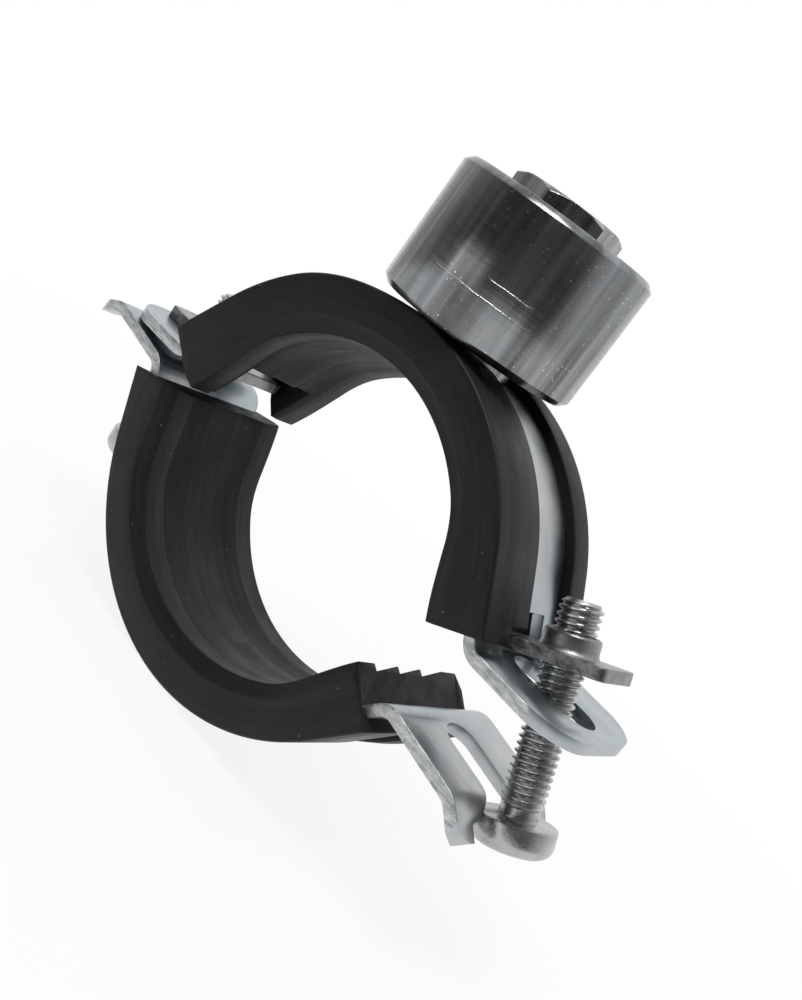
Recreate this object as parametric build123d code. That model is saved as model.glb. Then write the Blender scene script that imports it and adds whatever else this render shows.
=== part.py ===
"""Rubber lined two-screw pipe clamp with a combination connecting boss.

Frame: the origin is the centre of the upper half's ring, +Y runs along the pipe, +X points to the
closing side and +Z along the connecting boss.  The lower half is made in the same frame, as if both
rings shared a centre, and is then turned and moved to where it hangs on the hinge screw.
"""
from build123d import *
import os
from math import cos, radians, sin, tan

# ---- pipe and lining ----
pipe_diameter = 48.3
lining_under_band = 3.35        # rubber between the pipe and the band
lining_width = 22.4
lip_thickness = 0.9             # rubber lip that wraps over the band's outer face
front_lip_width = 9.4           # the two lips differ, so the band shows off centre
back_lip_width = 3.8
bevel_depth = 1.9               # from each flat flank down to the bore, radial
bevel_width = 1.0
groove_depth = 0.9
edge_rib_width = 3.2
groove_count = 3                # saw-tooth grooves between the two edge ribs
flank_clearance = 0.1           # band edge to the channel that holds it
upper_lining_angle = 73.0       # from the crown to the cut end of the lining
lower_lining_angle = 70.0

# ---- steel bands ----
band_thickness = 1.8
band_width = 20.0
arc_half_angle = 57.0           # the round part, before the straight legs
bend_radius = 1.8               # inside radius between leg and ear
ear_height = 6.2                # ring centre to an ear's clamping face

# ---- upper half: slotted ears ----
upper_ear_reach = 43.3
ear_corner_radius = 5.0
slot_width = 5.8
slot_start = 29.4
slot_end = 40.6
window_width = 8.7
window_height = 4.2
hook_room = 0.5                 # from a hooked plate to the rubber round it
notch_height = 3.4              # of the gap in the lining, over the ear

# ---- lower half: forked ears ----
fork_crease = 40.9              # ring centre to the bend of the prong tips
fork_slot_width = 5.5
fork_slot_start = 30.1
prong_tip_length = 4.6
prong_tip_bend = 44.0
prong_mouth_radius = 3.2
prong_outer_radius = 2.4

# ---- clamp screws (M5) ----
screw_diameter = 4.9            # over the thread crests
screw_length = 24.0             # under the head
screw_point = 0.6
head_diameter = 9.3
head_height = 3.5
head_round = 1.4
recess_width = 1.1
recess_span = 5.0
recess_depth = 1.8

# ---- hooked nut plates ----
thread_clearance = 0.05         # radial, screw crest to nut
plate_thickness = 1.5
plate_width = 8.0
plate_outboard = 6.0            # screw axis to the free end
plate_shoulder = 9.2            # screw axis to the hook behind the band
hook_length = 1.3
hook_width = 10.4
plate_corner = 1.0
collar_diameter = 6.4
collar_height = 2.2
point_above_plate = 7.1         # screw point over the plate's lower face

# ---- connecting boss ----
sleeve_diameter = 26.5
sleeve_bore = 18.63             # G1/2 thread, minor diameter
sleeve_height = 17.2
sleeve_floor = 2.5
sleeve_chamfer = 0.9
sleeve_lift = 1.5               # band crown to the underside of the sleeve
nut_across_flats = 13.0
nut_foot_diameter = 12.0
nut_proud = 2.1
nut_turn = 40.0                 # one corner of the hexagon, from +X
nut_chamfer = 0.5
rod_thread_diameter = 8.5       # M10, minor diameter
rod_thread_depth = 11.0
small_thread_diameter = 6.8     # M8, minor diameter
thread_floor = 2.0              # metal left under the smaller thread
lip_notch_gap = 0.4             # round the foot of the nut

# ---- how the clamp hangs open ----
swing_open = 7.5                # lower half, degrees from closed
ear_gap = 0.05                  # between the two ears where they meet
contact_reach = 40.7            # where the lower ear meets the upper one's edge, from its own ring centre
closing_tilt = 23.1             # closing screw, leaned outwards
closing_reach = 6.6             # screw axis to the plate's rocking edge
hinge_reach = 8.2

# ---- derived ----
bore_radius = pipe_diameter / 2
band_inner = bore_radius + lining_under_band
band_outer = band_inner + band_thickness
lip_outer = band_outer + lip_thickness
ear_top = ear_height + band_thickness
flank = lining_width / 2
sleeve_base = band_outer + sleeve_lift
sleeve_top = sleeve_base + sleeve_height
nut_top = sleeve_top + nut_proud
screw_radius = screw_diameter / 2
STAND = (Align.CENTER, Align.CENTER, Align.MIN)


def leg_x(radius, height):
    """X of a straight leg's face at a height, for the face at this radius from the ring centre."""
    arc_x = radius * sin(radians(arc_half_angle))
    arc_z = radius * cos(radians(arc_half_angle))
    return arc_x + (arc_z - height) / tan(radians(arc_half_angle))


rocking_edge = leg_x(band_inner, ear_top)       # the inner edge of an ear, under a nut plate


def side_box(x_low, x_high, y_low, y_high, z_low, z_high):
    """Box between two corners."""
    middle = ((x_low + x_high) / 2, (y_low + y_high) / 2, (z_low + z_high) / 2)
    return Pos(*middle) * Box(x_high - x_low, y_high - y_low, z_high - z_low)


def both_sides(shape):
    """A shape and its mirror image on the other side of the boss."""
    return shape + mirror(shape, about=Plane.YZ)


def band_strip(ear_end, tip_length=0.0):
    """Bent steel strip: crown arc, two legs and two ears, with bent tips where asked for."""
    middle = band_inner + band_thickness / 2
    ear_middle = ear_height + band_thickness / 2
    arc_x = middle * sin(radians(arc_half_angle))
    arc_z = middle * cos(radians(arc_half_angle))
    corners = [(arc_x, arc_z), (leg_x(middle, ear_middle), ear_middle), (ear_end, ear_middle)]
    if tip_length:
        tip_x = ear_end + tip_length * cos(radians(prong_tip_bend))
        tip_z = ear_middle + tip_length * sin(radians(prong_tip_bend))
        corners.append((tip_x, tip_z))
    right = FilletPolyline(*corners, radius=bend_radius + band_thickness / 2)
    left = mirror(right, about=Plane.YZ)
    crown = ThreePointArc((-arc_x, arc_z), (0, middle), (arc_x, arc_z))
    path = Plane.XZ * Wire(left.edges() + crown.edges() + right.edges())
    start = Plane(origin=path @ 0, x_dir=(0, 1, 0), z_dir=path % 0)
    return sweep(start * Rectangle(band_width, band_thickness), path=path)


def ear_plan(reach, corner):
    """Straight-sided block that rounds the corners of two ears in plan."""
    outline = Rectangle(2 * reach, band_width)
    return extrude(fillet(outline.vertices(), corner), amount=2 * band_outer, both=True)


def ear_slot():
    """Closed slot through an ear on the +X side."""
    length = slot_end - slot_start
    outline = SlotOverall(length, slot_width)
    return Pos(slot_start + length / 2, 0, 0) * extrude(outline, amount=2 * ear_top)


def fork_slot():
    """Slot on the +X side that opens outwards between two prongs."""
    half = fork_slot_width / 2
    centre = fork_slot_start + half
    throat = fork_crease - prong_mouth_radius
    mouth = half + prong_mouth_radius
    beyond = 2 * fork_crease
    curve = prong_mouth_radius * sin(radians(45))
    closed_end = ThreePointArc((centre, -half), (fork_slot_start, 0), (centre, half))
    edges = closed_end.edges() + Line((beyond, mouth), (beyond, -mouth)).edges()
    for side in (1, -1):
        middle = (throat + curve, side * (mouth - curve))
        edges += Line((centre, side * half), (throat, side * half)).edges()
        edges += ThreePointArc((throat, side * half), middle, (fork_crease, side * mouth)).edges()
        edges += Line((fork_crease, side * mouth), (beyond, side * mouth)).edges()
    return extrude(make_face(Wire(edges)), amount=2 * band_outer)


def upper_band():
    """Upper half: one window and one slotted ear on each side."""
    strip = band_strip(upper_ear_reach) & ear_plan(upper_ear_reach, ear_corner_radius)
    window = side_box(rocking_edge / 2, slot_start + band_thickness, -window_width / 2,
                      window_width / 2, ear_top, ear_top + window_height)
    return strip - both_sides(window) - both_sides(ear_slot())


def lower_band():
    """Lower half, still upside down: one forked ear on each side."""
    tip_reach = fork_crease + prong_tip_length * cos(radians(prong_tip_bend))
    outer = tip_reach + band_thickness / 2 * sin(radians(prong_tip_bend))
    strip = band_strip(fork_crease, prong_tip_length) & ear_plan(outer, prong_outer_radius)
    return strip - both_sides(fork_slot())


def lining_section():
    """Rubber profile at the crown, as (y, z): a channel round the band, and saw-tooth grooves inside."""
    side = band_width / 2 + flank_clearance
    land = flank - bevel_width
    pitch = 2 * (land - edge_rib_width) / groove_count
    grooves = []
    for number in range(groove_count):
        step = edge_rib_width - land + number * pitch
        grooves.append((step, bore_radius))
        grooves.append((step, bore_radius + groove_depth))
    outside = [
        (flank, bore_radius + bevel_depth),
        (flank, lip_outer),
        (flank - back_lip_width, lip_outer),
        (flank - back_lip_width, band_outer),
        (side, band_outer),
        (side, band_inner),
        (-side, band_inner),
        (-side, band_outer),
        (front_lip_width - flank, band_outer),
        (front_lip_width - flank, lip_outer),
        (-flank, lip_outer),
        (-flank, bore_radius + bevel_depth),
    ]
    bore = [(-land, bore_radius)] + grooves + [(land - edge_rib_width, bore_radius), (land, bore_radius)]
    return Plane.YZ * make_face(Polyline(*bore, *outside, close=True))


def lining(end_angle):
    """Profiled rubber strip round one half, cut square at its ends."""
    section = lining_section()
    crown = revolve(Rot(0, -arc_half_angle, 0) * section, axis=Axis.Y, revolution_arc=2 * arc_half_angle)
    slope = radians(arc_half_angle)
    leg = extrude(Rot(0, arc_half_angle, 0) * section, amount=band_inner, dir=(cos(slope), 0, -sin(slope)))
    past_end = Rot(0, end_angle, 0) * side_box(0, band_outer, -lining_width, lining_width, 0, 2 * band_outer)
    return crown + both_sides(leg - past_end)


def upper_lining():
    """Lining of the upper half, open round the foot of the boss and round each hook."""
    foot = Pos(0, 0, band_inner) * extrude(Circle(nut_foot_diameter / 2 + lip_notch_gap), amount=sleeve_height)
    hook = hook_width / 2 + hook_room
    window = side_box(rocking_edge / 2, 2 * band_outer, -hook, hook, 0, ear_top + notch_height)
    return lining(upper_lining_angle) - foot - both_sides(window)


def boss_sleeve():
    """Turned sleeve with the larger female thread and a floor that takes the nut."""
    outside = Cylinder(sleeve_diameter / 2, sleeve_height, align=STAND)
    outside = chamfer(outside.edges().filter_by(GeomType.CIRCLE), sleeve_chamfer)
    bore = Pos(0, 0, sleeve_floor) * Cylinder(sleeve_bore / 2, sleeve_height, align=STAND)
    lead_in = Pos(0, 0, sleeve_height - sleeve_chamfer) * Cone(
        sleeve_bore / 2, sleeve_bore / 2 + sleeve_chamfer, sleeve_chamfer, align=STAND)
    seat = Cylinder(nut_foot_diameter / 2, sleeve_height, align=STAND)
    return Pos(0, 0, sleeve_base) * (outside - bore - lead_in - seat)


def boss_nut():
    """Combination nut: round foot welded to the band's crown, hexagon above, two thread sizes."""
    hexagon_base = sleeve_base + sleeve_floor
    foot = Cylinder(nut_foot_diameter / 2, hexagon_base, align=STAND)
    band = Rot(90, 0, 0) * Cylinder(band_outer, 2 * band_width)
    corner_radius = nut_across_flats / 2 / cos(radians(30))
    outline = Rot(0, 0, nut_turn) * RegularPolygon(corner_radius, 6)
    hexagon = Pos(0, 0, hexagon_base) * extrude(outline, amount=nut_top - hexagon_base)
    crown_height = nut_top - (corner_radius - nut_across_flats / 2) * tan(radians(30))
    body = foot - band + hexagon
    turned = Cylinder(corner_radius, crown_height, align=STAND) + Pos(0, 0, crown_height) * Cone(
        corner_radius, nut_across_flats / 2, nut_top - crown_height, align=STAND)
    bottom = band_outer + thread_floor
    small = Pos(0, 0, bottom) * Cylinder(small_thread_diameter / 2, nut_top, align=STAND)
    large = Pos(0, 0, nut_top - rod_thread_depth) * Cylinder(rod_thread_diameter / 2, nut_top, align=STAND)
    return (body & turned) - small - large


def nut_plate():
    """Steel plate, tapped through a drawn collar; the screw axis is Z and its lower face is at 0."""
    shank_end = -plate_shoulder
    blade = side_box(shank_end, plate_outboard, -plate_width / 2, plate_width / 2, 0, plate_thickness)
    blade = fillet(blade.edges().filter_by(Axis.Z).group_by(Axis.X)[-1], plate_corner)
    hook = side_box(shank_end - hook_length, shank_end, -hook_width / 2, hook_width / 2, 0, plate_thickness)
    collar = Cylinder(collar_diameter / 2, plate_thickness + collar_height, align=STAND)
    tapped = Cylinder(screw_radius + thread_clearance, 4 * ear_top)
    return blade + hook + collar - tapped


def clamp_screw():
    """Pan head screw with a cross recess; its axis is Z and its point is up, placed by the nut plate."""
    under_head = point_above_plate - screw_length
    shank = Cylinder(screw_radius, screw_length, align=STAND)
    shank = chamfer(shank.edges().filter_by(GeomType.CIRCLE).group_by(Axis.Z)[-1], screw_point)
    head = Pos(0, 0, -head_height) * Cylinder(head_diameter / 2, head_height, align=STAND)
    head = fillet(head.edges().filter_by(GeomType.CIRCLE).group_by(Axis.Z)[0], head_round)
    slot = Box(recess_span, recess_width, 2 * recess_depth)
    recess = Pos(0, 0, -head_height) * (slot + Rot(0, 0, 90) * slot)
    return Pos(0, 0, under_head) * (shank + head - recess)


def on_closing_side(shape):
    """Stand a nut plate or its screw on the +X ear, leaned outwards about the rocking edge."""
    return Pos(rocking_edge, 0, ear_top) * Rot(0, -closing_tilt, 0) * Pos(closing_reach, 0, 0) * shape


def on_hinge_side(shape):
    """Stand a nut plate or its screw flat on the -X ear."""
    return Pos(-rocking_edge - hinge_reach, 0, ear_top) * Rot(0, 0, 180) * shape


def hang_open(shape):
    """Turn a lower piece over, and swing it down about the edge of the upper ear."""
    own_contact = Pos(contact_reach, 0, ear_height)
    edge = Pos(-upper_ear_reach, 0, ear_height - ear_gap)
    return edge * Rot(0, swing_open, 0) * own_contact * mirror(shape, about=Plane.XY)


pieces = {
    "upper_band": upper_band(),
    "upper_lining": upper_lining(),
    "boss_sleeve": boss_sleeve(),
    "boss_nut": boss_nut(),
    "lower_band": hang_open(lower_band()),
    "lower_lining": hang_open(lining(lower_lining_angle)),
    "closing_nut_plate": on_closing_side(nut_plate()),
    "closing_screw": on_closing_side(clamp_screw()),
    "hinge_nut_plate": on_hinge_side(nut_plate()),
    "hinge_screw": on_hinge_side(clamp_screw()),
}

os.makedirs("parts", exist_ok=True)
for name, piece in pieces.items():
    export_step(piece, os.path.join("parts", name + ".step"))
    print(name, len(piece.solids()), round(piece.volume, 2), piece.is_valid)
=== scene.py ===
"""Looks of the rubber lined pipe clamp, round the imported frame.  Lengths are in metres."""
from math import ceil, cos, pi, radians, sin, tan

import bmesh
import bpy
from mathutils import Matrix, Vector


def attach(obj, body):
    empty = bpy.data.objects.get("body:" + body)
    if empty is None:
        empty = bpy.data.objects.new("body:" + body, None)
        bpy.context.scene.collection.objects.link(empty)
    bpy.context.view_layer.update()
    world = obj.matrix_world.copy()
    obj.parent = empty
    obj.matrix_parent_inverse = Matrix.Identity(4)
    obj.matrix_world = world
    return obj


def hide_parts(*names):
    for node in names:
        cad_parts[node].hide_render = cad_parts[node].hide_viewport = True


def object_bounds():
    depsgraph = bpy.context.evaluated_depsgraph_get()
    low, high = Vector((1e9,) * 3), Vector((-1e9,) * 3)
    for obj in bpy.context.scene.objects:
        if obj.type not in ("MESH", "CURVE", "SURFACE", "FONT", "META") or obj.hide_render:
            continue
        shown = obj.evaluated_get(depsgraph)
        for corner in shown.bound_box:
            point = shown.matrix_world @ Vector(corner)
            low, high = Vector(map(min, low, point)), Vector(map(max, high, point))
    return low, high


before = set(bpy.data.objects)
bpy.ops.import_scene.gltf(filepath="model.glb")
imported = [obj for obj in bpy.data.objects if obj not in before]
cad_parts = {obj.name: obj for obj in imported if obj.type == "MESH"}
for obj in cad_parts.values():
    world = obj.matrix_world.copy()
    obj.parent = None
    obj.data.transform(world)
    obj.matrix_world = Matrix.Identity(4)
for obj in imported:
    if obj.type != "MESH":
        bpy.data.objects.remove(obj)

cad_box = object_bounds()
MM = 0.001

# ---- driving sizes, as in the part's source ----
BORE = 24.15 * MM
UNDER_BAND = 3.35 * MM
BAND_THICKNESS = 1.5 * MM
BAND_WIDTH = 20.0 * MM
ARC_HALF = radians(57.0)
EAR_HEIGHT = 6.2 * MM
BEND_RADIUS = 1.8 * MM
UPPER_REACH = 43.3 * MM
EAR_CORNER = 6.5 * MM
FORK_CREASE = 40.9 * MM
CONTACT = 40.7 * MM
TIP_LENGTH = 4.6 * MM
TIP_BEND = radians(32.0)
LINING_WIDTH = 22.4 * MM
LIP_THICKNESS = 1.2 * MM
FRONT_LIP = 9.4 * MM
BACK_LIP = 3.8 * MM
UPPER_END = radians(73.0)
LOWER_END = radians(71.0)
EAR_GAP = 0.05 * MM
SWING_OPEN = radians(7.5)
CLOSING_TILT = radians(23.1)
CLOSING_REACH = 7.0 * MM
HINGE_REACH = 7.8 * MM
SCREW_LENGTH = 24.0 * MM
POINT_ABOVE_PLATE = 7.2 * MM
SLEEVE_LIFT = 1.8 * MM
SLEEVE_HEIGHT = 17.2 * MM
SHOULDER = 9.2 * MM

# ---- openings in the bands ----
SLOT_START = 29.4 * MM
SLOT_END = 41.1 * MM
SLOT_WIDTH = 5.8 * MM
WINDOW_HALF_WIDTH = 4.35 * MM
WINDOW_HEIGHT = 4.2 * MM
FORK_HALF_WIDTH = 2.75 * MM
FORK_MOUTH_RADIUS = 4.0 * MM
FORK_MOUTH_PAST_CREASE = 2.6 * MM
CLOSING_FORK_START = 31.3 * MM
HINGE_FORK_START = 29.6 * MM
TIP_CORNER = 2.9 * MM
SHEET_EDGE = 0.22 * MM            # rounding of the band's long edges
CUT_EDGE = 0.09 * MM              # rounding of cut edges

# ---- the lining's profile ----
CHANNEL_PLAY = 0.1 * MM           # band edge to the channel that holds it
BEVEL_WIDTH = 1.0 * MM
BEVEL_DEPTH = 1.9 * MM
EDGE_RIB = 3.2 * MM
GROOVES = 3
GROOVE_DEPTH = 0.9 * MM
LIP_SLOPE = 0.15 * MM             # the lip is this much thinner at its edge
NOTCH_HALF_WIDTH = 5.7 * MM       # gap in the lining over a hooked plate
NOTCH_HEIGHT = 3.4 * MM
FOOT_HOLE = 6.4 * MM              # round the foot of the nut
INWARD = 1.4 * MM                 # how far the free ends lean in
LIP_LIFT = 0.35 * MM              # lip off the band near the crown

# ---- boss and screws ----
SLEEVE_RADIUS = 13.25 * MM
SLEEVE_ROUND = 0.9 * MM
SLEEVE_MINOR = 9.315 * MM
SLEEVE_MAJOR = 10.48 * MM
SLEEVE_PITCH = 1.814 * MM
SLEEVE_FLOOR_HOLE = 6.1 * MM
FLAT = 6.5 * MM                   # half the nut's width across flats
HEX_TURN = radians(40.0)
FOOT_RADIUS = 6.0 * MM
M10_ROOT, M10_CREST, M10_PITCH = 4.25 * MM, 5.0 * MM, 1.5 * MM
M8_ROOT, M8_CREST, M8_PITCH = 3.4 * MM, 4.0 * MM, 1.25 * MM
M5_ROOT, M5_CREST, M5_PITCH = 2.02 * MM, 2.45 * MM, 0.8 * MM

# ---- nut plates ----
PLATE_THICKNESS = 1.5 * MM
PLATE_HALF_WIDTH = 4 * MM
PLATE_FREE_END = 6.4 * MM
HOOK_LENGTH = 1.3 * MM
HOOK_HALF_WIDTH = 5.2 * MM
PLATE_LIFT = 0.08 * MM            # closing plate over the ear

BAND_INNER = BORE + UNDER_BAND
BAND_OUTER = BAND_INNER + BAND_THICKNESS
LIP_OUTER = BAND_OUTER + LIP_THICKNESS
EAR_TOP = EAR_HEIGHT + BAND_THICKNESS
SLEEVE_BASE = BAND_OUTER + SLEEVE_LIFT
SLEEVE_TOP = SLEEVE_BASE + SLEEVE_HEIGHT
NUT_TOP = SLEEVE_TOP + 2.1 * MM


def leg_x(radius, height):
    """X of a straight leg's face at a height."""
    return radius * sin(ARC_HALF) + (radius * cos(ARC_HALF) - height) / tan(ARC_HALF)


LEG_FOOT = leg_x(BAND_OUTER, EAR_TOP)
ROCKING_EDGE = leg_x(BAND_INNER, EAR_TOP)

# ---- placing the pieces ----
HANG = (Matrix.Translation((-UPPER_REACH, 0, EAR_HEIGHT - EAR_GAP))
        @ Matrix.Rotation(SWING_OPEN, 4, "Y")
        @ Matrix.Translation((CONTACT, 0, EAR_HEIGHT)) @ Matrix.Scale(-1, 4, (0, 0, 1)))
CLOSING = (Matrix.Translation((ROCKING_EDGE, 0, EAR_TOP + PLATE_LIFT))
           @ Matrix.Rotation(-CLOSING_TILT, 4, "Y")
           @ Matrix.Translation((CLOSING_REACH, 0, 0)))
HINGE = Matrix.Translation((-ROCKING_EDGE - HINGE_REACH, 0, EAR_TOP)) @ Matrix.Rotation(pi, 4, "Z")
LOWER_CENTRE = HANG @ Vector((0, 0, 0))


# ---- mesh helpers ----
def new_object(name, mesh):
    """Link a mesh as a new object."""
    piece = bpy.data.objects.new(name, mesh)
    bpy.context.scene.collection.objects.link(piece)
    return piece


def from_bmesh(name, built):
    """Turn a bmesh into an object with outward faces."""
    bmesh.ops.recalc_face_normals(built, faces=built.faces)
    mesh = bpy.data.meshes.new(name)
    built.to_mesh(mesh)
    built.free()
    return new_object(name, mesh)


def settle(piece):
    """Apply every modifier to the object's mesh."""
    depsgraph = bpy.context.evaluated_depsgraph_get()
    mesh = bpy.data.meshes.new_from_object(piece.evaluated_get(depsgraph))
    old = piece.data
    piece.modifiers.clear()
    piece.data = mesh
    bpy.data.meshes.remove(old)


def combine(piece, cutter, operation):
    """Exact boolean of one object with another, which is used up."""
    modifier = piece.modifiers.new("shape", "BOOLEAN")
    modifier.operation = operation
    modifier.solver = "EXACT"
    modifier.object = cutter
    settle(piece)
    bpy.data.objects.remove(cutter)


def soften(piece, width, segments=2, angle=35.0):
    """Round the sharp edges, then shade smoothly between the remaining ones."""
    if width:
        modifier = piece.modifiers.new("edges", "BEVEL")
        modifier.width = width
        modifier.segments = segments
        modifier.limit_method = "ANGLE"
        modifier.angle_limit = radians(angle)
        settle(piece)
    piece.data.shade_smooth()
    piece.data.set_sharp_from_angle(angle=radians(38))


def place(piece, matrix):
    """Move the mesh itself, so that the object stays at the origin."""
    piece.data.transform(matrix)
    if matrix.determinant() < 0:
        piece.data.flip_normals()


def skin(name, rings, closed=False):
    """Closed surface through rings of points: capped at both ends, or joined up end to end."""
    built = bmesh.new()
    rows = [[built.verts.new(point) for point in ring] for ring in rings]
    count = len(rings[0])
    pairs = list(zip(rows, rows[1:]))
    if closed:
        pairs.append((rows[-1], rows[0]))
    else:
        built.faces.new(rows[0])
        built.faces.new(rows[-1])
    for first, second in pairs:
        for column in range(count):
            following = (column + 1) % count
            built.faces.new((first[column], first[following], second[following], second[column]))
    return from_bmesh(name, built)


def prism(name, outline, low, high):
    """Upright prism over a flat outline of (x, y) points."""
    return skin(name, [[(x, y, height) for x, y in outline] for height in (low, high)])


def brick(low, high):
    """Plain block between two corners, only ever used to cut with."""
    outline = [(low[0], low[1]), (high[0], low[1]), (high[0], high[1]), (low[0], high[1])]
    return prism("cutter", outline, low[2], high[2])


def rounded(points, radii, steps=5):
    """Closed outline whose corners are rounded, each by its own radius."""
    result = []
    count = len(points)
    for index, radius in enumerate(radii):
        corner = Vector(points[index])
        before = Vector(points[index - 1]) - corner
        after = Vector(points[(index + 1) % count]) - corner
        if not radius:
            result.append(tuple(corner))
            continue
        angle = before.angle(after)
        reach = min(radius / tan(angle / 2), 0.49 * before.length, 0.49 * after.length)
        radius = reach * tan(angle / 2)
        inward = (before.normalized() + after.normalized()).normalized()
        centre = corner + inward * (radius / sin(angle / 2))
        start = corner + before.normalized() * reach - centre
        end = corner + after.normalized() * reach - centre
        for step in range(steps + 1):
            blend = step / steps
            turn = start.angle(end)
            arm = (start * sin((1 - blend) * turn) + end * sin(blend * turn)) / sin(turn)
            result.append(tuple(centre + arm))
    return result


def lathe(name, profile, segments, closed=False):
    """Turned surface: profile holds (radius, height), where a radius may be a function of the angle."""
    rings = []
    for radius, height in profile:
        ring = []
        for number in range(segments):
            angle = 2 * pi * number / segments
            reach = radius(angle) if callable(radius) else radius
            ring.append((reach * cos(angle), reach * sin(angle), height))
        rings.append(ring)
    return skin(name, rings, closed)


def arc_steps(centre, radius, start, end, steps):
    """Points of a profile's arc, angles in degrees."""
    angles = [radians(start + (end - start) * number / steps) for number in range(steps + 1)]
    return [(centre[0] + radius * cos(angle), centre[1] + radius * sin(angle)) for angle in angles]


def threaded(low, high, root, crest, pitch, limit=None):
    """Profile points of a screw thread from one height to another, with an optional limit(height)."""
    count = ceil(abs(high - low) / (pitch / 8))

    def at(height):
        def radius(angle):
            wave = abs(2 * ((height / pitch - angle / (2 * pi)) % 1.0) - 1)
            reach = root + (crest - root) * min(1.0, max(0.0, (wave - 0.15) / 0.6))
            return limit(reach, height) if limit else reach
        return radius

    heights = [low + (high - low) * number / count for number in range(count + 1)]
    return [(at(height), height) for height in heights]


# ---- steel bands ----
def bend(corner, radius, before, after, steps):
    """Points (x, z, heading) of a bend to the left round a corner."""
    back = radius * tan((after - before) / 2)
    start = Vector(corner) - back * Vector((cos(before), sin(before)))
    centre = start + radius * Vector((-sin(before), cos(before)))
    headings = [before + (after - before) * number / steps for number in range(steps + 1)]
    return [(centre.x + radius * sin(turn), centre.y - radius * cos(turn), turn)
            for turn in headings]


def band(name, ear_end, tip_length=0.0):
    """Bent strip along crown, legs and ears, with softly rounded long edges."""
    middle = BAND_INNER + BAND_THICKNESS / 2
    ear_middle = EAR_HEIGHT + BAND_THICKNESS / 2
    radius = BEND_RADIUS + BAND_THICKNESS / 2
    half = []
    steps = 48
    for number in range(steps + 1):
        turn = ARC_HALF * number / steps
        half.append((middle * sin(turn), middle * cos(turn), -turn))
    half += bend((leg_x(middle, ear_middle), ear_middle), radius, -ARC_HALF, 0.0, 10)
    if tip_length:
        half += bend((ear_end, ear_middle), radius, 0.0, TIP_BEND, 5)
        tip = (ear_end + tip_length * cos(TIP_BEND), ear_middle + tip_length * sin(TIP_BEND), TIP_BEND)
        half.append(tip)
    else:
        half.append((ear_end, ear_middle, 0.0))
    path = [(-x, z, -turn) for x, z, turn in reversed(half[1:])] + half
    wide = BAND_WIDTH / 2
    thick = BAND_THICKNESS / 2
    corners = [(-wide, -thick), (wide, -thick), (wide, thick), (-wide, thick)]
    section = rounded(corners, [SHEET_EDGE] * 4, 3)
    rings = []
    for x, z, turn in path:
        rings.append([(x - out * sin(turn), y, z + out * cos(turn)) for y, out in section])
    return skin(name, rings)


def trim_ears(piece, reach, corner):
    """Round the corners of both ears."""
    wide = BAND_WIDTH
    outline = [(-reach, -wide / 2), (reach, -wide / 2), (reach, wide / 2), (-reach, wide / 2)]
    outline = rounded(outline, [corner] * 4, 10)
    combine(piece, prism("cutter", outline, -2 * BAND_OUTER, 2 * BAND_OUTER), "INTERSECT")


def slot_outline(low, high, width):
    """Round-ended slot along X."""
    half = width / 2
    right = arc_steps((high - half, 0), half, -90, 90, 14)
    left = arc_steps((low + half, 0), half, 90, 270, 14)
    return right + left


def fork_outline(start):
    """Slot from a closed end out between the prongs, with its rounded mouth."""
    half = FORK_HALF_WIDTH
    sweep = FORK_MOUTH_RADIUS
    mouth = FORK_CREASE + FORK_MOUTH_PAST_CREASE
    beyond = 2 * UPPER_REACH
    low_side = arc_steps((mouth - sweep, -half - sweep), sweep, 90, 0, 12)
    low_side.append((beyond, -half - sweep))
    high_side = [(x, -y) for x, y in reversed(low_side)]
    closed_end = arc_steps((start + half, 0), half, 90, 270, 14)
    return low_side + high_side + closed_end


def cut_both(piece, outline, low, high):
    """Cut the same outline through the +X and the -X ear."""
    combine(piece, prism("cutter", outline, low, high), "DIFFERENCE")
    combine(piece, prism("cutter", [(-x, y) for x, y in outline], low, high), "DIFFERENCE")


upper_band = band("band_upper", UPPER_REACH)
trim_ears(upper_band, UPPER_REACH, EAR_CORNER)
cut_both(upper_band, slot_outline(SLOT_START, SLOT_END, SLOT_WIDTH), 0, 2 * EAR_TOP)
window_low, window_high = ROCKING_EDGE / 2, LEG_FOOT + MM
window = [(window_low, -WINDOW_HALF_WIDTH), (window_high, -WINDOW_HALF_WIDTH),
          (window_high, WINDOW_HALF_WIDTH), (window_low, WINDOW_HALF_WIDTH)]
cut_both(upper_band, window, EAR_TOP, EAR_TOP + WINDOW_HEIGHT)

lower_band = band("band_lower", FORK_CREASE, TIP_LENGTH)
tip_end = FORK_CREASE + TIP_LENGTH * cos(TIP_BEND) + BAND_THICKNESS / 2 * sin(TIP_BEND)
trim_ears(lower_band, tip_end, TIP_CORNER)
closing_fork = fork_outline(CLOSING_FORK_START)
combine(lower_band, prism("cutter", closing_fork, 0, 2 * BAND_OUTER), "DIFFERENCE")
hinge_fork = [(-x, y) for x, y in fork_outline(HINGE_FORK_START)]
combine(lower_band, prism("cutter", hinge_fork, 0, 2 * BAND_OUTER), "DIFFERENCE")
place(lower_band, HANG)
for piece in (upper_band, lower_band):
    soften(piece, CUT_EDGE)


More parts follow.
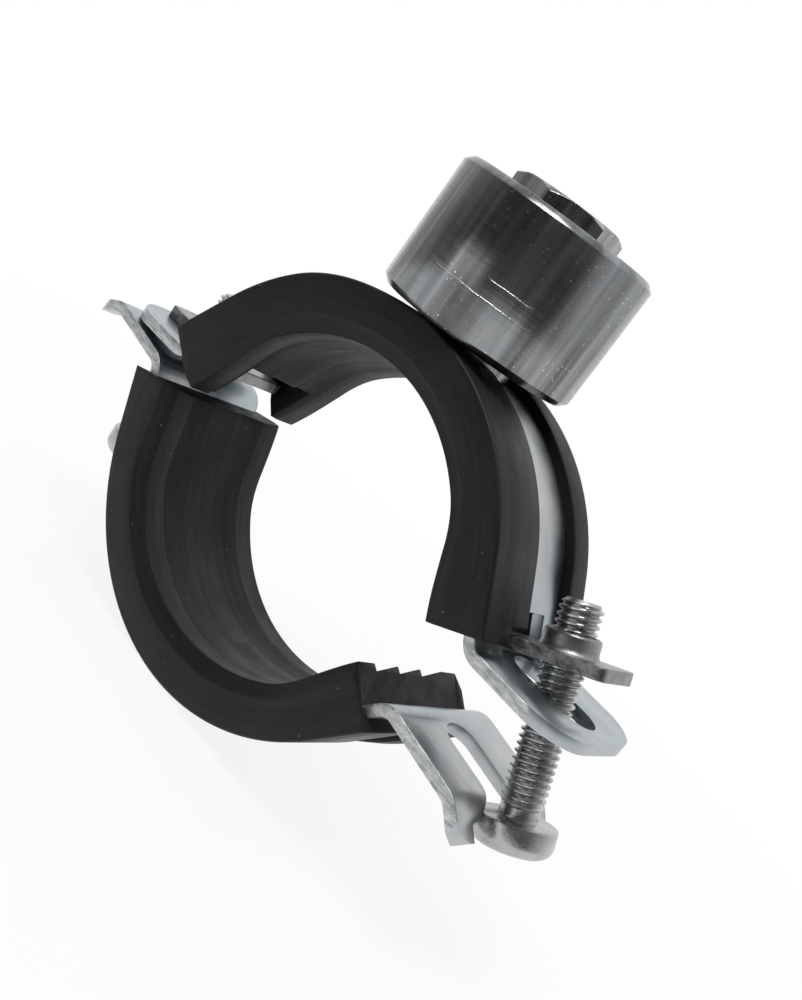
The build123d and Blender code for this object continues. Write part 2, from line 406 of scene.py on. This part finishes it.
# ---- rubber linings ----
def lining_section():
    """Profile at the crown as (y, radius): a channel round the band, saw-tooth grooves inside."""
    flank = LINING_WIDTH / 2
    side = BAND_WIDTH / 2 + CHANNEL_PLAY
    land = flank - BEVEL_WIDTH
    pitch = 2 * (land - EDGE_RIB) / GROOVES
    points = [(-land, BORE)]
    for number in range(GROOVES):
        step = EDGE_RIB - land + number * pitch
        points += [(step, BORE), (step, BORE + GROOVE_DEPTH)]
    points += [(land - EDGE_RIB, BORE), (land, BORE)]
    radii = [0.25] + [0.2, 0.12] * GROOVES + [0.12, 0.25]
    bevel_top = BORE + BEVEL_DEPTH
    lip_edge = LIP_OUTER - LIP_SLOPE
    back, front = flank - BACK_LIP, FRONT_LIP - flank
    points += [(flank, bevel_top), (flank, LIP_OUTER), (back, lip_edge), (back, BAND_OUTER)]
    points += [(side, BAND_OUTER), (side, BAND_INNER), (-side, BAND_INNER), (-side, BAND_OUTER)]
    points += [(front, BAND_OUTER), (front, lip_edge), (-flank, LIP_OUTER), (-flank, bevel_top)]
    radii += [0.3, 0.45, 0.3, 0.1, 0.05, 0.05, 0.05, 0.05, 0.1, 0.3, 0.45, 0.3]
    return rounded(points, [radius * MM for radius in radii], 3)


def ease(value):
    """Smooth step from 0 to 1."""
    value = min(1.0, max(0.0, value))
    return value * value * (3 - 2 * value)


def relaxed(y, radius, turn, lips):
    """Radius of a profile point where the rubber stands off: the outer lips and the free ends."""
    towards_end = ease((abs(turn) - radians(42)) / radians(31))
    if radius < BAND_INNER - MM:
        return radius - INWARD * towards_end
    if radius > BAND_OUTER + 0.5 * MM:
        lift = lips[0] if turn < 0 else lips[1]
        front = 1.0 if y < 0 else 0.4
        rise = ease((abs(turn) - radians(8)) / radians(30))
        return radius + front * (LIP_LIFT + (lift - LIP_LIFT) * rise)
    return radius


def lining(name, end, lips, longer, flank=0.0):
    """Profile along the crown's arc and down both legs, to ends that are longer at the bore.

    lips and longer hold the -X side's value and then the +X side's; flank is the least the -X end
    grows by at the lining's edges.
    """
    section = lining_section()
    extra = end - ARC_HALF
    places = [(-1, -number / 10) for number in range(-10, 0)]
    places += [(0, number / 60) for number in range(-60, 61)]
    places += [(1, number / 10) for number in range(1, 11)]
    rings = []
    for side, share in places:
        ring = []
        for y, radius in section:
            turn = side * (ARC_HALF + share * extra) if side else share * ARC_HALF
            radius = relaxed(y, radius, turn, lips)
            if side:
                inside = 1 - ease((radius - BORE + MM) / (UNDER_BAND + MM))
                bonus = inside * longer[0 if side < 0 else 1]
                if side < 0:
                    bonus = max(bonus, flank * ease((abs(y) - 5 * MM) / (4 * MM)))
                run = share * (radius * tan(extra) + bonus)
                x = radius * sin(ARC_HALF) + run * cos(ARC_HALF)
                ring.append((side * x, y, radius * cos(ARC_HALF) - run * sin(ARC_HALF)))
            else:
                ring.append((radius * sin(turn), y, radius * cos(turn)))
        rings.append(ring)
    return skin(name, rings)


upper_lining = lining("lining_upper", UPPER_END, (1.25 * MM, 0.45 * MM), (2.4 * MM, 1.0 * MM))
foot_hole = lathe("cutter", [(FOOT_HOLE, BAND_INNER), (FOOT_HOLE, 2 * BAND_OUTER)], 72)
combine(upper_lining, foot_hole, "DIFFERENCE")
for low, high in ((ROCKING_EDGE / 2, 2 * BAND_OUTER), (-2 * BAND_OUTER, -ROCKING_EDGE / 2)):
    notch = brick((low, -NOTCH_HALF_WIDTH, 0), (high, NOTCH_HALF_WIDTH, EAR_TOP + NOTCH_HEIGHT))
    combine(upper_lining, notch, "DIFFERENCE")
lower_lining = lining("lining_lower", LOWER_END, (LIP_LIFT, LIP_LIFT), (1.0 * MM, 1.2 * MM), 1.3 * MM)
place(lower_lining, HANG)
for piece in (upper_lining, lower_lining):
    soften(piece, 0.1 * MM, 2, 60.0)


# ---- connecting boss ----
def sleeve_mouth(reach, height):
    """Countersink at the mouth of the sleeve's thread."""
    cone = SLEEVE_MINOR + height - (SLEEVE_TOP - 1.3 * MM)
    return max(reach, min(SLEEVE_MAJOR + 0.1 * MM, cone))


def sleeve_profile():
    """Up the rounded outside, down through the thread and back along the floor."""
    outer, lead = SLEEVE_RADIUS, SLEEVE_ROUND
    floor_top = SLEEVE_BASE + 2.5 * MM
    profile = [(SLEEVE_FLOOR_HOLE, SLEEVE_BASE), (outer - lead, SLEEVE_BASE)]
    profile += [(outer - 0.8 * lead, SLEEVE_BASE + 0.12 * lead)]
    profile += [(outer - 0.12 * lead, SLEEVE_BASE + 0.8 * lead)]
    profile += [(outer, SLEEVE_BASE + lead), (outer, SLEEVE_TOP - lead)]
    profile += [(outer - 0.12 * lead, SLEEVE_TOP - 0.8 * lead)]
    profile += [(outer - 0.8 * lead, SLEEVE_TOP - 0.12 * lead)]
    profile += [(outer - lead, SLEEVE_TOP), (SLEEVE_MAJOR + 0.2 * MM, SLEEVE_TOP)]
    profile += threaded(SLEEVE_TOP - 0.1 * MM, SLEEVE_BASE + 3.8 * MM, SLEEVE_MINOR, SLEEVE_MAJOR,
                        SLEEVE_PITCH, sleeve_mouth)
    profile += [(SLEEVE_MAJOR, SLEEVE_BASE + 3.6 * MM), (SLEEVE_MAJOR, floor_top)]
    return profile + [(SLEEVE_FLOOR_HOLE, floor_top)]


def hexagon(height):
    """Radius of the chamfered hexagon as a function of the angle."""
    cone = FLAT + (NUT_TOP - height) / tan(radians(30)) - 0.05 * MM

    def radius(angle):
        return min(cone, FLAT / cos((angle - HEX_TURN) % (pi / 3) - pi / 6))
    return radius


def nut_mouth(reach, height):
    """Countersink at the mouth of the nut's larger thread."""
    return max(reach, 5.2 * MM + height - NUT_TOP)


def nut_profile():
    """Up through both threads, over the hexagon's chamfer and down to the foot."""
    hexagon_base = SLEEVE_BASE + 2.45 * MM
    rod_floor = NUT_TOP - 11.0 * MM
    profile = [(M8_ROOT, BAND_OUTER + 2.0 * MM)]
    profile += threaded(BAND_OUTER + 3.0 * MM, rod_floor - 0.3 * MM, M8_ROOT, M8_CREST, M8_PITCH)
    profile += threaded(rod_floor, NUT_TOP - 0.05 * MM, M10_ROOT, M10_CREST, M10_PITCH, nut_mouth)
    for step in range(9):
        height = NUT_TOP - step * 0.08 * MM
        profile.append((hexagon(height), height))
    profile += [(hexagon(hexagon_base), hexagon_base), (FOOT_RADIUS, hexagon_base - 0.01 * MM)]
    return profile + [(FOOT_RADIUS, BAND_OUTER - 0.7 * MM)]


sleeve = lathe("boss_sleeve_turned", sleeve_profile(), 144, closed=True)
nut = lathe("boss_nut_hexagon", nut_profile(), 144)


# ---- clamp screws ----
def neck(reach, height):
    """Thread that runs out towards the head and narrows at the point."""
    point = POINT_ABOVE_PLATE - height
    reach = min(reach, 1.85 * MM + max(0.0, point))
    plain_end = POINT_ABOVE_PLATE - SCREW_LENGTH + 1.2 * MM
    blend = min(1.0, max(0.0, (height - plain_end) / (0.8 * MM)))
    return blend * reach + (1 - blend) * 2.2 * MM


def screw(name, matrix):
    """Pan head screw with a cross recess, its point up."""
    under = POINT_ABOVE_PLATE - SCREW_LENGTH
    profile = threaded(POINT_ABOVE_PLATE, under + 0.35 * MM, M5_ROOT, M5_CREST, M5_PITCH, neck)
    profile += [(2.28 * MM, under + 0.1 * MM), (2.6 * MM, under), (4.35 * MM, under)]
    profile += [(4.58 * MM, under - 0.1 * MM), (4.65 * MM, under - 0.3 * MM)]
    profile += arc_steps((3.2 * MM, under - 1.9 * MM), 1.45 * MM, 0, -80, 8)
    profile += [(2.2 * MM, under - 3.47 * MM), (1.0 * MM, under - 3.5 * MM)]
    piece = lathe(name, profile, 64)
    cross = []
    for depth, span, width in ((-3.6, 2.55, 0.58), (-3.2, 2.45, 0.52), (-1.9, 1.3, 0.4)):
        ring = []
        for quarter in range(4):
            turn = Matrix.Rotation(quarter * pi / 2, 2)
            for x, y in ((width, width), (span, -width * 0.9), (span, width * 0.9)):
                ring.append(turn @ Vector((x, y)) * MM)
        order = sorted(ring, key=lambda p: p.angle_signed(Vector((1, 0))))
        cross.append([(p.x, p.y, under + depth * MM) for p in order])
    combine(piece, skin("cutter", cross), "DIFFERENCE")
    soften(piece, 0)
    place(piece, matrix)
    return piece


# ---- hooked nut plates ----
def plate(name, matrix):
    """Tapped plate with a drawn collar and a wider hook at its inner end."""
    hook = -SHOULDER - HOOK_LENGTH
    half_outline = [(hook, -HOOK_HALF_WIDTH), (-SHOULDER, -HOOK_HALF_WIDTH), (-SHOULDER, -PLATE_HALF_WIDTH),
                    (PLATE_FREE_END, -PLATE_HALF_WIDTH)]
    outline = half_outline + [(x, -y) for x, y in reversed(half_outline)]
    radii = [0.3, 0.3, 0.4, 1.0, 1.0, 0.4, 0.3, 0.3]
    piece = prism(name, rounded(outline, [radius * MM for radius in radii], 6), 0, PLATE_THICKNESS)
    soften(piece, 0.14 * MM, 3)
    collar = ((3.0, 0.2), (3.95, 1.42), (3.6, 1.52), (3.35, 1.75), (3.22, 2.2), (3.2, 3.3),
              (3.12, 3.55), (2.9, 3.7))
    bore = ((2.5, -1.0), (2.5, 3.4), (2.75, 3.65), (2.85, 4.5))
    for turning, operation in ((collar, "UNION"), (bore, "DIFFERENCE")):
        profile = [(radius * MM, height * MM) for radius, height in turning]
        combine(piece, lathe("cutter", profile, 64), operation)
    soften(piece, 0)
    place(piece, matrix)
    return piece


closing_screw = screw("screw_closing", CLOSING)
hinge_screw = screw("screw_hinge", HINGE)
closing_plate = plate("plate_closing", CLOSING)
hinge_plate = plate("plate_hinge", HINGE)
for piece in (sleeve, nut):
    soften(piece, 0)


# ---- node trees ----
def add_node(tree, kind, inputs=None, **settings):
    """Add a shader node with its settings; each input is a value or another node's output."""
    made = tree.nodes.new("ShaderNode" + kind)
    for key, value in settings.items():
        setattr(made, key, value)
    for key, value in (inputs or {}).items():
        feed(tree, made.inputs[key], value)
    return made


def feed(tree, socket, value):
    """Link a socket, or set its value."""
    if isinstance(value, bpy.types.NodeSocket):
        tree.links.new(value, socket)
    else:
        socket.default_value = value


# ---- finishes ----
class Finish:
    """A node material, put together with short calls."""

    def __init__(self, name):
        self.material = bpy.data.materials.new(name)
        self.material.use_nodes = True
        self.tree = self.material.node_tree
        self.tree.nodes.clear()
        self.shader = self.node("BsdfPrincipled")
        output = self.node("OutputMaterial")
        self.tree.links.new(self.shader.outputs["BSDF"], output.inputs["Surface"])
        self.where = self.node("TexCoord").outputs["Object"]
        apart = self.node("SeparateXYZ", {"Vector": self.where})
        self.x, self.y, self.z = apart.outputs

    def node(self, kind, inputs=None, **settings):
        """Add a node, with its settings and its inputs."""
        return add_node(self.tree, kind, inputs, **settings)

    def sum(self, operation, first, second=0.0):
        """One step of arithmetic."""
        return self.node("Math", {0: first, 1: second}, operation=operation).outputs[0]

    def scaled(self, factors):
        """The object's coordinates, stretched along each axis."""
        made = self.node("VectorMath", {0: self.where, 1: factors}, operation="MULTIPLY")
        return made.outputs[0]

    def vector(self, x, y, z):
        """Vector from three numbers."""
        return self.node("CombineXYZ", {"X": x, "Y": y, "Z": z}).outputs[0]

    def noise(self, vector, scale, detail=3.0, roughness=0.55):
        """Noise between 0 and 1."""
        inputs = {"Vector": vector, "Scale": scale, "Detail": detail, "Roughness": roughness}
        return self.node("TexNoise", inputs).outputs["Fac"]

    def span(self, value, low, high, to_low=0.0, to_high=1.0):
        """Map a range onto another, clamped."""
        inputs = {"Value": value, "From Min": low, "From Max": high, "To Min": to_low, "To Max": to_high}
        return self.node("MapRange", inputs).outputs["Result"]

    def mix(self, factor, first, second, blend="MIX"):
        """Mix two colours."""
        made = self.node("Mix", data_type="RGBA", blend_type=blend)
        for index, value in ((0, factor), (6, first), (7, second)):
            feed(self.tree, made.inputs[index], value)
        return made.outputs[2]

    def specks(self, scale, size):
        """Small sharp dots, 1 inside them."""
        made = self.node("TexVoronoi", {"Vector": self.where, "Scale": scale}, feature="F1")
        return self.span(made.outputs["Distance"], size, 0.6 * size)

    def bump(self, height, distance, normal=None):
        """Bump from a height between 0 and 1."""
        inputs = {"Height": height, "Distance": distance}
        if normal:
            inputs["Normal"] = normal
        return self.node("Bump", inputs).outputs["Normal"]

    def done(self, **values):
        """Set the shader's sockets and hand over the material."""
        for key, value in values.items():
            feed(self.tree, self.shader.inputs[key.replace("_", " ")], value)
        return self.material


def ring_place(finish, centre):
    """Angle round a ring and distance from its centre."""
    x = finish.sum("SUBTRACT", finish.x, centre[0])
    z = finish.sum("SUBTRACT", finish.z, centre[2])
    angle = finish.sum("ARCTAN2", x, z)
    distance = finish.node("VectorMath", {0: finish.vector(x, 0.0, z)}, operation="LENGTH").outputs["Value"]
    return angle, distance


def rubber(name, centre):
    """Matt black rubber with extrusion streaks, dull patches and pale dust."""
    finish = Finish(name)
    angle, distance = ring_place(finish, centre)
    along = finish.vector(finish.sum("MULTIPLY", angle, 1.2), finish.sum("MULTIPLY", finish.y, 900.0),
                          finish.sum("MULTIPLY", distance, 900.0))
    streaks = finish.noise(along, 2.2, 6.0, 0.65)
    broad = finish.noise(along, 0.5, 3.0)
    patches = finish.noise(finish.where, 160.0, 4.0)
    grain = finish.noise(finish.where, 3800.0, 2.0)
    dust = finish.specks(620.0, 0.085)
    sparse = finish.span(finish.noise(finish.where, 420.0, 2.0), 0.5, 0.62)
    dust = finish.sum("MULTIPLY", dust, sparse)
    dark = finish.mix(finish.span(streaks, 0.35, 0.75), (0.004, 0.004, 0.0045, 1), (0.014, 0.014, 0.015, 1))
    dark = finish.mix(finish.span(patches, 0.5, 0.8, 0.0, 0.4), dark, (0.022, 0.022, 0.023, 1))
    colour = finish.mix(finish.sum("MULTIPLY", dust, 0.5), dark, (0.32, 0.32, 0.31, 1))
    rough = finish.span(broad, 0.3, 0.7, 0.4, 0.56)
    rough = finish.sum("ADD", rough, finish.span(patches, 0.35, 0.7, 0.0, 0.12))
    height = finish.sum("ADD", finish.sum("MULTIPLY", streaks, 0.8), finish.sum("MULTIPLY", grain, 0.2))
    normal = finish.bump(height, 0.00006)
    return finish.done(Base_Color=colour, Roughness=rough, Normal=normal, Specular_IOR_Level=0.3)


def zinc_sheet(name, centre):
    """Bright zinc on cold-rolled sheet: faint blue, drawn along its length, with torn edges."""
    finish = Finish(name)
    angle, distance = ring_place(finish, centre)
    along = finish.vector(finish.sum("MULTIPLY", angle, 1.6), finish.sum("MULTIPLY", finish.y, 700.0),
                          finish.sum("MULTIPLY", distance, 200.0))
    drawn = finish.noise(along, 1.6, 5.0, 0.6)
    cloud = finish.noise(finish.where, 110.0, 4.0, 0.6)
    grain = finish.noise(finish.where, 2600.0, 3.0, 0.6)
    pits = finish.specks(900.0, 0.11)
    edge = finish.span(finish.sum("ABSOLUTE", finish.y), 9.72 * MM, 9.86 * MM)
    torn = finish.noise(finish.scaled((500, 500, 1400)), 1.0, 5.0, 0.7)
    colour = finish.mix(finish.span(cloud, 0.35, 0.65), (0.40, 0.43, 0.45, 1), (0.54, 0.545, 0.54, 1))
    tint = finish.span(finish.noise(finish.where, 60.0, 2.0), 0.48, 0.66, 0.0, 0.5)
    colour = finish.mix(tint, colour, (0.33, 0.44, 0.50, 1))
    colour = finish.mix(finish.sum("MULTIPLY", pits, 0.5), colour, (0.34, 0.34, 0.33, 1))
    shear = finish.mix(finish.span(torn, 0.35, 0.65), (0.34, 0.36, 0.37, 1), (0.74, 0.75, 0.75, 1))
    colour = finish.mix(edge, colour, shear)
    rough = finish.span(drawn, 0.3, 0.7, 0.24, 0.36)
    rough = finish.sum("ADD", rough, finish.span(cloud, 0.3, 0.7, 0.0, 0.10))
    rough = finish.sum("ADD", rough, finish.sum("MULTIPLY", edge, 0.12))
    fine = finish.sum("ADD", finish.sum("MULTIPLY", drawn, 0.5), finish.sum("MULTIPLY", grain, 0.5))
    normal = finish.bump(fine, 0.000014)
    normal = finish.bump(finish.sum("MULTIPLY", torn, edge), 0.00022, normal)
    return finish.done(Base_Color=colour, Metallic=1.0, Roughness=rough, Normal=normal)


def turned(name, relief, dark, light, scratches=()):
    """Turned and plated steel: fine rings round Z, painted reflection bands along Z that vary round it, a
    warm tint round it, and scratches.

    Each scratch is its height, then where it starts and ends round Z, in degrees.
    """
    finish = Finish(name)
    angle = finish.sum("ARCTAN2", finish.y, finish.x)
    rings = finish.noise(finish.vector(angle, finish.sum("MULTIPLY", finish.z, 2600.0), 0.0), 1.0, 4.0, 0.6)
    # painted reflection bands: a pattern over the angle round Z, stretched a little along Z, stands in for
    # the studio mirrored in the turned surface
    broad = finish.vector(finish.sum("MULTIPLY", angle, 3.1), finish.sum("MULTIPLY", finish.z, 14.0), 4.0)
    painted_reflection_bands = finish.noise(broad, 1.6, 5.0, 0.62)
    cloud = finish.noise(finish.where, 130.0, 4.0, 0.6)
    grain = finish.noise(finish.where, 3000.0, 2.0)
    marks = finish.specks(1300.0, 0.17)
    sparse = finish.span(finish.noise(finish.where, 200.0, 2.0), 0.46, 0.6)
    marks = finish.sum("MULTIPLY", marks, sparse)
    # painted reflection: the colour runs from dark to light across these bands
    colour = finish.mix(finish.span(painted_reflection_bands, 0.36, 0.64), dark, light)
    warm = finish.noise(finish.vector(finish.sum("MULTIPLY", angle, 4.0), 2.0, 1.0), 1.3, 2.0)
    warm = finish.span(warm, 0.5, 0.62, 0.0, 0.55)
    colour = finish.mix(warm, colour, (0.34, 0.26, 0.21, 1), "MULTIPLY")
    colour = finish.mix(finish.span(cloud, 0.4, 0.7, 0.0, 0.35), colour, (0.30, 0.33, 0.36, 1))
    colour = finish.mix(finish.sum("MULTIPLY", marks, 0.7), colour, (0.75, 0.75, 0.72, 1))
    lines = None
    for height, start, end in scratches:
        wander = finish.noise(finish.vector(finish.sum("MULTIPLY", angle, 9.0), height * 900, 0.0), 1.0, 2.0)
        wander = finish.span(wander, 0.0, 1.0, -0.16 * MM, 0.16 * MM)
        off = finish.sum("ABSOLUTE", finish.sum("SUBTRACT", finish.sum("ADD", finish.z, wander), height))
        line = finish.span(off, 0.06 * MM, 0.02 * MM)
        line = finish.sum("MULTIPLY", line, finish.span(angle, radians(start), radians(start + 4)))
        line = finish.sum("MULTIPLY", line, finish.span(angle, radians(end), radians(end - 4)))
        lines = line if lines is None else finish.sum("MAXIMUM", lines, line)
    rough = finish.span(rings, 0.3, 0.7, 0.15, 0.24)
    rough = finish.sum("ADD", rough, finish.span(cloud, 0.35, 0.7, 0.0, 0.08))
    height = finish.sum("ADD", finish.sum("MULTIPLY", rings, 0.75), finish.sum("MULTIPLY", grain, 0.25))
    normal = finish.bump(height, relief)
    if lines is not None:
        colour = finish.mix(finish.sum("MULTIPLY", lines, 0.6), colour, (0.85, 0.85, 0.83, 1))
        normal = finish.bump(finish.sum("SUBTRACT", 1.0, lines), 0.00004, normal)
    return finish.done(Base_Color=colour, Metallic=1.0, Roughness=rough, Normal=normal)


def plated(name, dark, light, edge_at, low, high):
    """Zinc on pressed steel, with a coarser sheared face beyond |y| of edge_at; roughness low to high."""
    finish = Finish(name)
    cloud = finish.noise(finish.where, 260.0, 5.0, 0.65)
    grain = finish.noise(finish.where, 2200.0, 4.0, 0.65)
    pits = finish.specks(1100.0, 0.16)
    edge = finish.span(finish.sum("ABSOLUTE", finish.y), edge_at, edge_at + 0.12 * MM)
    torn = finish.noise(finish.scaled((700, 700, 1500)), 1.0, 5.0, 0.7)
    colour = finish.mix(finish.span(cloud, 0.35, 0.65), dark, light)
    colour = finish.mix(finish.sum("MULTIPLY", pits, 0.5), colour, (0.22, 0.22, 0.22, 1))
    shear = finish.mix(finish.span(torn, 0.38, 0.62), (0.10, 0.105, 0.11, 1), (0.36, 0.36, 0.35, 1))
    colour = finish.mix(edge, colour, shear)
    rough = finish.sum("ADD", finish.span(cloud, 0.3, 0.7, low, high), finish.sum("MULTIPLY", edge, 0.12))
    normal = finish.bump(grain, 0.00003)
    normal = finish.bump(finish.sum("MULTIPLY", torn, edge), 0.00022, normal)
    return finish.done(Base_Color=colour, Metallic=1.0, Roughness=rough, Normal=normal)


ring = (0, 0, 0)
dull = ((0.20, 0.205, 0.21, 1), (0.40, 0.40, 0.39, 1), 3.84 * MM, 0.3, 0.44)
bright = ((0.33, 0.34, 0.345, 1), (0.54, 0.54, 0.53, 1), 40 * MM, 0.2, 0.34)
sleeve_scratches = [(36.2 * MM, -94, -36), (38.3 * MM, -68, -41)]
# the dark and light colours of both turned finishes are the two ends of their painted reflection bands
sleeve_finish = turned("turned_sleeve", 0.000012, (0.14, 0.145, 0.14, 1), (0.34, 0.35, 0.36, 1),
                       sleeve_scratches)
nut_finish = turned("turned_nut", 0.00001, (0.16, 0.16, 0.16, 1), (0.40, 0.40, 0.40, 1))
finishes = [
    (upper_band, "upper_half", "upper_band", "zinc_band", zinc_sheet("zinc_upper", ring)),
    (upper_lining, "upper_half", "upper_lining", "rubber", rubber("rubber_upper", ring)),
    (sleeve, "upper_half", "boss_sleeve", "turned_steel", sleeve_finish),
    (nut, "upper_half", "boss_nut", "nut_steel", nut_finish),
    (lower_band, "lower_half", "lower_band", "zinc_band", zinc_sheet("zinc_lower", LOWER_CENTRE)),
    (lower_lining, "lower_half", "lower_lining", "rubber", rubber("rubber_lower", LOWER_CENTRE)),
    (closing_plate, "closing_plate", "closing_nut_plate", "plate_steel", plated("plated_plate", *dull)),
    (closing_screw, "closing_bolt", "closing_screw", "screw_steel", plated("plated_screw", *bright)),
    (hinge_plate, "hinge_plate", "hinge_nut_plate", "plate_steel", plated("plated_hinge_plate", *dull)),
    (hinge_screw, "hinge_bolt", "hinge_screw", "screw_steel", plated("plated_hinge_screw", *bright)),
]
for piece, body, node, slot, material in finishes:
    piece.data.materials.clear()
    piece.data.materials.append(material)
    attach(piece, body)
    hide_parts(node)

# ---- camera, as in the photograph ----
PICTURE_HEIGHT = 1000             # in the pixels that the focal length is given in
FOCAL_LENGTH = 1204.7
SENSOR = 36
DISTANCE = 143.59 * MM
azimuth, elevation, roll = radians(33.39), radians(12.38), radians(-36.47)
toward = Vector((sin(azimuth) * cos(elevation), -cos(azimuth) * cos(elevation), sin(elevation)))
level = (-toward).cross(Vector((0, 0, 1))).normalized()
upright = level.cross(-toward)
right = cos(roll) * level - sin(roll) * upright
up = sin(roll) * level + cos(roll) * upright
target = Vector((4.98, 0, 10.95)) * MM
camera = bpy.data.objects.new("camera", bpy.data.cameras.new("camera"))
camera.data.sensor_width = SENSOR
camera.data.lens = FOCAL_LENGTH / PICTURE_HEIGHT * SENSOR
camera.data.clip_start = 0.005
camera.matrix_world = (Matrix.Translation(target + DISTANCE * toward)
                       @ Matrix((right, up, toward)).transposed().to_4x4())
bpy.context.scene.collection.objects.link(camera)
bpy.context.scene.camera = camera


# ---- studio ----
def lamp(name, across, over, out, size, power):
    """Square soft lamp facing the object, placed along the camera's right, up and back directions."""
    light = bpy.data.lights.new(name, "AREA")
    light.size = size
    light.energy = power
    made = bpy.data.objects.new(name, light)
    place_at = target + across * right + over * up + out * toward
    facing = (place_at - target).to_track_quat("Z", "Y").to_matrix().to_4x4()
    made.matrix_world = Matrix.Translation(place_at) @ facing
    bpy.context.scene.collection.objects.link(made)


lamp("key", 0.20, 0.42, 0.22, 0.20, 1.3)
lamp("fill", -0.42, 0.05, 0.30, 0.35, 0.5)

world = bpy.data.worlds.new("studio")
bpy.context.scene.world = world
world.use_nodes = True
tree = world.node_tree
sky = add_node(tree, "TexCoord").outputs["Generated"]
brightest = (0.55 * right - toward).normalized()
facing = add_node(tree, "VectorMath", {0: sky, 1: brightest}, operation="DOT_PRODUCT").outputs["Value"]
spread = {"Value": facing, "From Min": -0.45, "From Max": 0.65, "To Min": 0.12, "To Max": 1.0}
fade = add_node(tree, "MapRange", spread)
seen = add_node(tree, "LightPath").outputs["Is Camera Ray"]
strength = add_node(tree, "Math", {0: fade.outputs["Result"], 1: seen}, operation="MAXIMUM").outputs[0]
background = tree.nodes["Background"]
feed(tree, background.inputs["Strength"], strength)
feed(tree, background.inputs["Color"], (1, 1, 1, 1))

FLOOR_RADIUS = 0.24
FLOOR_DEPTH = 0.002
floor = lathe("floor", [(FLOOR_RADIUS, -FLOOR_DEPTH), (FLOOR_RADIUS, 0.0)], 96)
floor.location.z = cad_box[0][2] - 0.3 * MM
# the floor turns into plain white away from the object, so that only its shadow shows
ground = bpy.data.materials.new("floor_white")
ground.use_nodes = True
tree = ground.node_tree
shader = tree.nodes["Principled BSDF"]
feed(tree, shader.inputs["Base Color"], (0.9, 0.9, 0.9, 1))
feed(tree, shader.inputs["Roughness"], 0.9)
rays = add_node(tree, "LightPath").outputs
camera_or_glossy = {0: rays["Is Camera Ray"], 1: rays["Is Glossy Ray"]}
either = add_node(tree, "Math", camera_or_glossy, operation="MAXIMUM").outputs[0]
spot = add_node(tree, "TexCoord").outputs["Object"]
away = add_node(tree, "VectorMath", {0: spot}, operation="LENGTH").outputs["Value"]
spread = {"Value": away, "From Min": 0.05, "From Max": 0.16, "To Min": 0.88, "To Max": 1.0}
clear = add_node(tree, "MapRange", spread, interpolation_type="SMOOTHSTEP").outputs["Result"]
share = add_node(tree, "Math", {0: either, 1: clear}, operation="MULTIPLY").outputs[0]
glow = add_node(tree, "Emission").outputs[0]
blend = add_node(tree, "MixShader", {0: share, 1: shader.outputs["BSDF"], 2: glow}).outputs[0]
feed(tree, tree.nodes["Material Output"].inputs["Surface"], blend)
floor.data.materials.append(ground)

bpy.context.scene.view_settings.view_transform = "Standard"
